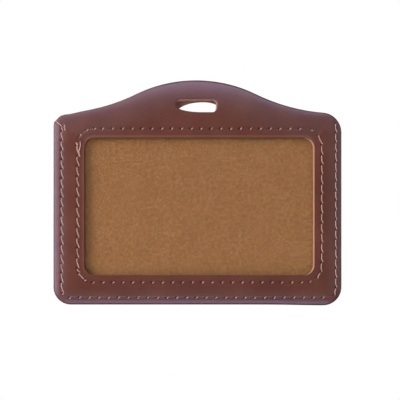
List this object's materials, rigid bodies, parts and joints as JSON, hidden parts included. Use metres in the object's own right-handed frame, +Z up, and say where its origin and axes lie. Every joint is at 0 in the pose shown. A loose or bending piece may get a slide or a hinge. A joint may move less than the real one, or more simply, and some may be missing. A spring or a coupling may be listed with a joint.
{
  "type": "card holder",
  "caption": "Landscape leather badge holder: framed clear window, sewn left, bottom and right, open top, and a humped top edge with a strap slot.",
  "frame": {"origin": "centre of the front strap slot, on the plane where the front and rear panels meet", "axes": "+X to the right seen from the window side, +Y out of the plain rear face, +Z up towards the humped edge"},
  "size_m": [0.105, 0.0037, 0.082],
  "materials": {
    "front_leather": "smooth semi-matt brown grain face with a soft sheen, tan cut edges and flesh side",
    "rear_leather": "smooth brown grain face outside, tan suede flesh side inside",
    "clear_film": "clear, glossy",
    "window_thread": "twisted polyester sewing thread, pinkish tan",
    "edge_thread": "twisted polyester sewing thread, pinkish tan"
  },
  "bodies": {
    "pocket": {"front_panel": "front_leather", "rear_panel": "rear_leather", "window_film": "clear_film", "window_needle_thread": "window_thread", "window_bobbin_thread": "window_thread", "edge_needle_thread": "edge_thread", "edge_bobbin_thread": "edge_thread"},
    "front_leaf": {"front_leaf": "front_leather"},
    "rear_leaf": {"rear_leaf": "rear_leather"}
  },
  "joints": [
    {"name": "front_leaf_bend", "type": "hinge", "parent": "pocket", "child": "front_leaf", "pos_m": [0.0004, -0.0018, -0.0057], "axis": [1, 0, 0], "range_deg": [0, 40], "stiffness_Nm_per_rad": 0.004},
    {"name": "rear_leaf_bend", "type": "hinge", "parent": "pocket", "child": "rear_leaf", "pos_m": [0.0004, 0.00055, -0.0057], "axis": [-1, 0, 0], "range_deg": [0, 40], "stiffness_Nm_per_rad": 0.004}
  ]
}
